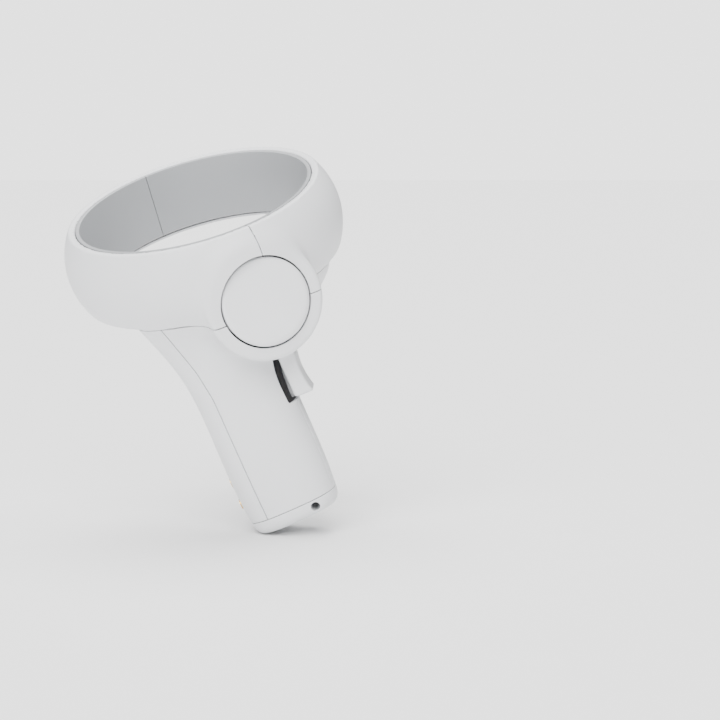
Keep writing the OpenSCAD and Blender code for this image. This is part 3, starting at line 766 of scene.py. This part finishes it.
# Half of the slit between the bands, in degrees
slit = 0.17
for name, a, b in (("ring_liner_left", FAR, FRONT), ("ring_liner_right", FRONT, FAR + 360)):
    band_piece = revolve(name + "_band", RING, liner, a + slit - 90, b - slit - 90, 160)
    finish_piece(band_piece, "controller", [name], "liner_grey")

# End cap: a rounded foot with the strap's hole through it
AROUND_FOOT = 120
left, right, front, back = SECTIONS[0, 1:]
rows = []
for z in np.concatenate([[0, 0.15, 0.5], np.linspace(1, 4.75, 10), [4.85, 4.9]]):
    inset = 3.1 * (1 - math.sqrt(max(0, 1 - ((5 - z) / 5) ** 2))) + (0.15 if z > 4.87 else 0)
    flat = blob(left + inset, right - inset, front + inset, back - inset, AROUND_FOOT)
    rows.append(HANDLE.world(np.column_stack([flat, np.full(len(flat), z)])))
faces = loft_faces(len(rows), AROUND_FOOT)
last_row = (len(rows) - 1) * AROUND_FOOT
faces += [tuple(range(AROUND_FOOT - 1, -1, -1)), tuple(range(last_row, last_row + AROUND_FOOT))]
cap = make("end_cap_foot", np.vstack(rows), faces)
hole_at = Place(np.array(MOUNTS["strap_hole"]["pos_m"]) / MM, turned("X", -90))
drill = revolve("drill", hole_at, [[0, -20], [1.6, -20], [1.6, 20], [0, 20]], n=48)
cut = cap.modifiers.new("hole", "BOOLEAN")
cut.object = drill
cut.operation = "DIFFERENCE"
cut.solver = "EXACT"
eased(cap, 0.12, 40)
bpy.data.objects.remove(drill)
finish_piece(cap, "controller", ["end_cap"], "shell_white")

# Trigger: a near-flat disc, creased along one diagonal and highest at the lower right
AROUND_CAP = 160
CAP_R = 14.9
LOWER_RIGHT = [0.77, -0.64]
turn = np.linspace(0, 2 * np.pi, AROUND_CAP, endpoint=False)
direction = np.column_stack([np.cos(turn), np.sin(turn)])
lower_right = np.clip(direction @ LOWER_RIGHT, 0, 1)
edge = 1.3 + 1.7 * lower_right**1.5


def cap_height(xy):
    along = xy @ LOWER_RIGHT
    across = xy @ [0.64, 0.77]
    crease = 0.05 * np.sqrt(across**2 + 0.6) * np.clip(0.5 + along / 16, 0, 1.2)
    return 1.0 + 0.115 * along - 0.0035 * (along**2 - 120) - crease


rows = []
for k in np.linspace(0, 1, 26)[1:]:
    xy = direction * ((CAP_R - edge) * k)[:, None]
    rows.append(np.column_stack([xy, cap_height(xy)]))
brim = rows[-1]
for t in np.radians([12, 24, 36, 48, 60, 72, 82, 90]):
    xy = direction * (CAP_R - edge + edge * math.sin(t))[:, None]
    rows.append(np.column_stack([xy, brim[:, 2] - 0.85 * edge * (1 - math.cos(t))]))
for r, z in ((CAP_R, -3.3), (13.4, -3.3), (13.4, -1.3)):
    rows.append(np.column_stack([direction * r, np.full(AROUND_CAP, z)]))
verts = np.vstack([[[0, 0, cap_height(np.zeros((1, 2)))[0]]], *rows, [[0, 0, -1.3]]])
faces = [tuple(1 + i for i in f[::-1]) for f in loft_faces(len(rows), AROUND_CAP)]
last = len(verts) - 1
for i in range(AROUND_CAP):
    j = (i + 1) % AROUND_CAP
    faces.append((0, 1 + i, 1 + j))
    faces.append((last, last - AROUND_CAP + j, last - AROUND_CAP + i))
trigger = make("trigger_disc", TRIGGER.world(verts), faces)
trigger.data.set_sharp_from_angle(angle=math.radians(50))
finish_piece(trigger, "trigger", ["trigger_cap"], "key_white")

# Grip button: a hollowed paddle that flares to its lower end
outline = np.array([[23.5, 38.75], [22.9, 41], [22.45, 44], [22.3, 46.8], [22.5, 49.5], [22.9, 52],
                    [23.0, 54], [21.7, 56.0], [16.8, 56.0], [16.8, 39.4], [18, 38.9]])
dense = []
for a, b in zip(outline, np.roll(outline, -1, 0)):
    n = max(2, int(np.linalg.norm(b - a) / 0.35))
    dense += [a + (b - a) * k / n for k in range(n)]
dense = np.array(dense)
for _ in range(4):
    dense = dense * 0.5 + (np.roll(dense, 1, 0) + np.roll(dense, -1, 0)) * 0.25
centre = (dense.min(0) + dense.max(0)) / 2
half = (dense.max(0) - dense.min(0)) / 2
rows = []
for y_end, side in ((-10.5, -1), (7.5, 1)):
    part = []
    for t in np.radians([90, 75, 60, 45, 30, 15, 0]):
        shrunk = centre + (dense - centre) * (1 - 1.1 * (1 - math.cos(t)) / half)
        y = y_end - side * 1.3 * (1 - math.sin(t))
        part.append(np.column_stack([shrunk[:, 0], np.full(len(dense), y), shrunk[:, 1]]))
    rows += part if side < 0 else part[::-1]
count = len(dense)
faces = loft_faces(len(rows), count)
faces += [tuple(range(count - 1, -1, -1)), tuple(range((len(rows) - 1) * count, len(rows) * count))]
grip = make("grip_paddle", HANDLE.world(np.vstack(rows)), faces)
grip.data.set_sharp_from_angle(angle=math.radians(40))
finish_piece(grip, "grip", ["grip_button"], "shell_white")


# Face: plate, ring round the thumbstick, keys and the stick itself
plate = eased(cad_copy("face_plate_disc", "face_plate"), 0.25, 30)
finish_piece(plate, "controller", ["face_plate"], "shell_white")
ring_place = Place(STICK.world([0, 0, 7]), face_rot)
seat = [[7.2, 0.01], [8.8, 0.01], [8.75, 0.2], [8.55, 0.42], [8.3, 0.5], [7.6, 0.5], [7.35, 0.4], [7.2, 0.2]]
finish_piece(revolve("stick_seat", ring_place, seat), "controller", ["face_ring"], "liner_grey")


def key(name, node, body, at, r, rise, dish, slot_name):
    top = [[r, rise - 0.7], [r - 0.06, rise - 0.4], [r - 0.25, rise - 0.13], [r - 0.55, rise]]
    top += [[r * f, rise - dish * (1 - (f * r / (r - 0.55)) ** 2)] for f in (0.75, 0.5, 0.25, 0)]
    stem = [[0, -4.4], [1.6, -4.4], [1.6, -3.6], [r + 1, -3.6], [r + 1, -2.25], [r, -2.2]]
    place = Place(FACE.world([*at, 0]), face_rot)
    finish_piece(revolve(name, place, stem + top, n=96), body, [node], slot_name)


key("upper_key", "button_upper", "upper_button", (-7.5, -9), 4.3, 1.3, 0.18, "key_white")
key("lower_key", "button_lower", "lower_button", (-11.5, 2.5), 4.3, 1.3, 0.18, "key_white")
key("home_key", "home_button", "home", (-3, 15), 3.2, 0.5, 0.3, "shell_white")


def knurl(profile, t):
    """Sixty shallow grooves in the pad's rim."""
    rim = (profile[:, 0] > 7.6) & (np.abs(profile[:, 1] - 16.7) < 0.9)
    return np.where(rim, 0.1 * (math.cos(60 * t) - 1), 0)


pad = [[0, 15.4], [2, 15.4], [2, 14.7], [2.7, 14.25], [6.5, 15.35], [7.2, 15.4], [7.75, 15.6], [8.1, 16.05],
       [8.2, 16.6], [8.1, 17.15], [7.8, 17.5], [7.3, 17.75], [6.9, 17.8], [6.3, 17.7], [5.6, 17.45],
       [4.2, 17.15], [2.2, 16.97], [0, 16.9]]
finish_piece(revolve("stick_pad", STICK, pad, n=360, wave=knurl), "stick", ["thumbstick_cap"], "stick_grey")
dome = np.vstack([arc((0, 0), 8.6, 76.7, 24, 24), arc((0, 0), 7.7, 24, 75, 24)])
finish_piece(revolve("stick_dust_dome", STICK, dome), "stick", ["stick_dome"], "inner_dark")

# ---------- floor, light and camera ----------
low_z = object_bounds()[0][2]
floor_mesh = bpy.data.meshes.new("floor")
floor_mesh.from_pydata([(-6, -4, low_z), (6, -4, low_z), (6, 8, low_z), (-6, 8, low_z)], [], [(0, 1, 2, 3)])
floor = bpy.data.objects.new("floor", floor_mesh)
bpy.context.scene.collection.objects.link(floor)
floor_mesh.materials.append(material("painted_floor", "#F4F4F4", "#F2F2F2", 0.9, 3, 2))


def soft_light(name, at, toward, angle, power):
    """A wide, distant source, like a large diffuser, seen under that angle in degrees."""
    data = bpy.data.lights.new(name, "SUN")
    data.angle = math.radians(angle)
    data.energy = power
    obj = bpy.data.objects.new(name, data)
    obj.location = at
    obj.rotation_euler = (Vector(toward) - Vector(at)).to_track_quat("-Z", "Y").to_euler()
    bpy.context.scene.collection.objects.link(obj)


middle = (-0.03, 0.0, 0.075)
soft_light("key", (-0.25, -1.0, 0.95), middle, 50, 5.6)
soft_light("top", (-0.1, 0.35, 1.5), middle, 60, 5.2)

world = bpy.data.worlds.new("studio")
bpy.context.scene.world = world
world.use_nodes = True
# The backdrop is brighter to the eye than as a source, so that the object keeps its shading
world.node_tree.nodes.clear()
seen = add(world.node_tree, "ShaderNodeLightPath")
glow = add(world.node_tree, "ShaderNodeMapRange", {"Value": (seen, "Is Camera Ray")})
glow.inputs["To Min"].default_value = 0.12
glow.inputs["To Max"].default_value = 2.65
sky = add(world.node_tree, "ShaderNodeBackground", {"Strength": (glow, "Result")}, Color=linear("#FFFFFF"))
add(world.node_tree, "ShaderNodeOutputWorld", {"Surface": (sky, "Background")})

camera_data = bpy.data.cameras.new("camera")
camera_data.lens = 100
camera_data.sensor_width = 36
camera = bpy.data.objects.new("camera", camera_data)
camera.location = (0.02131, -0.67995, 0.12564)
camera.rotation_euler = (math.radians(84), 0, 0)
bpy.context.scene.collection.objects.link(camera)
bpy.context.scene.camera = camera
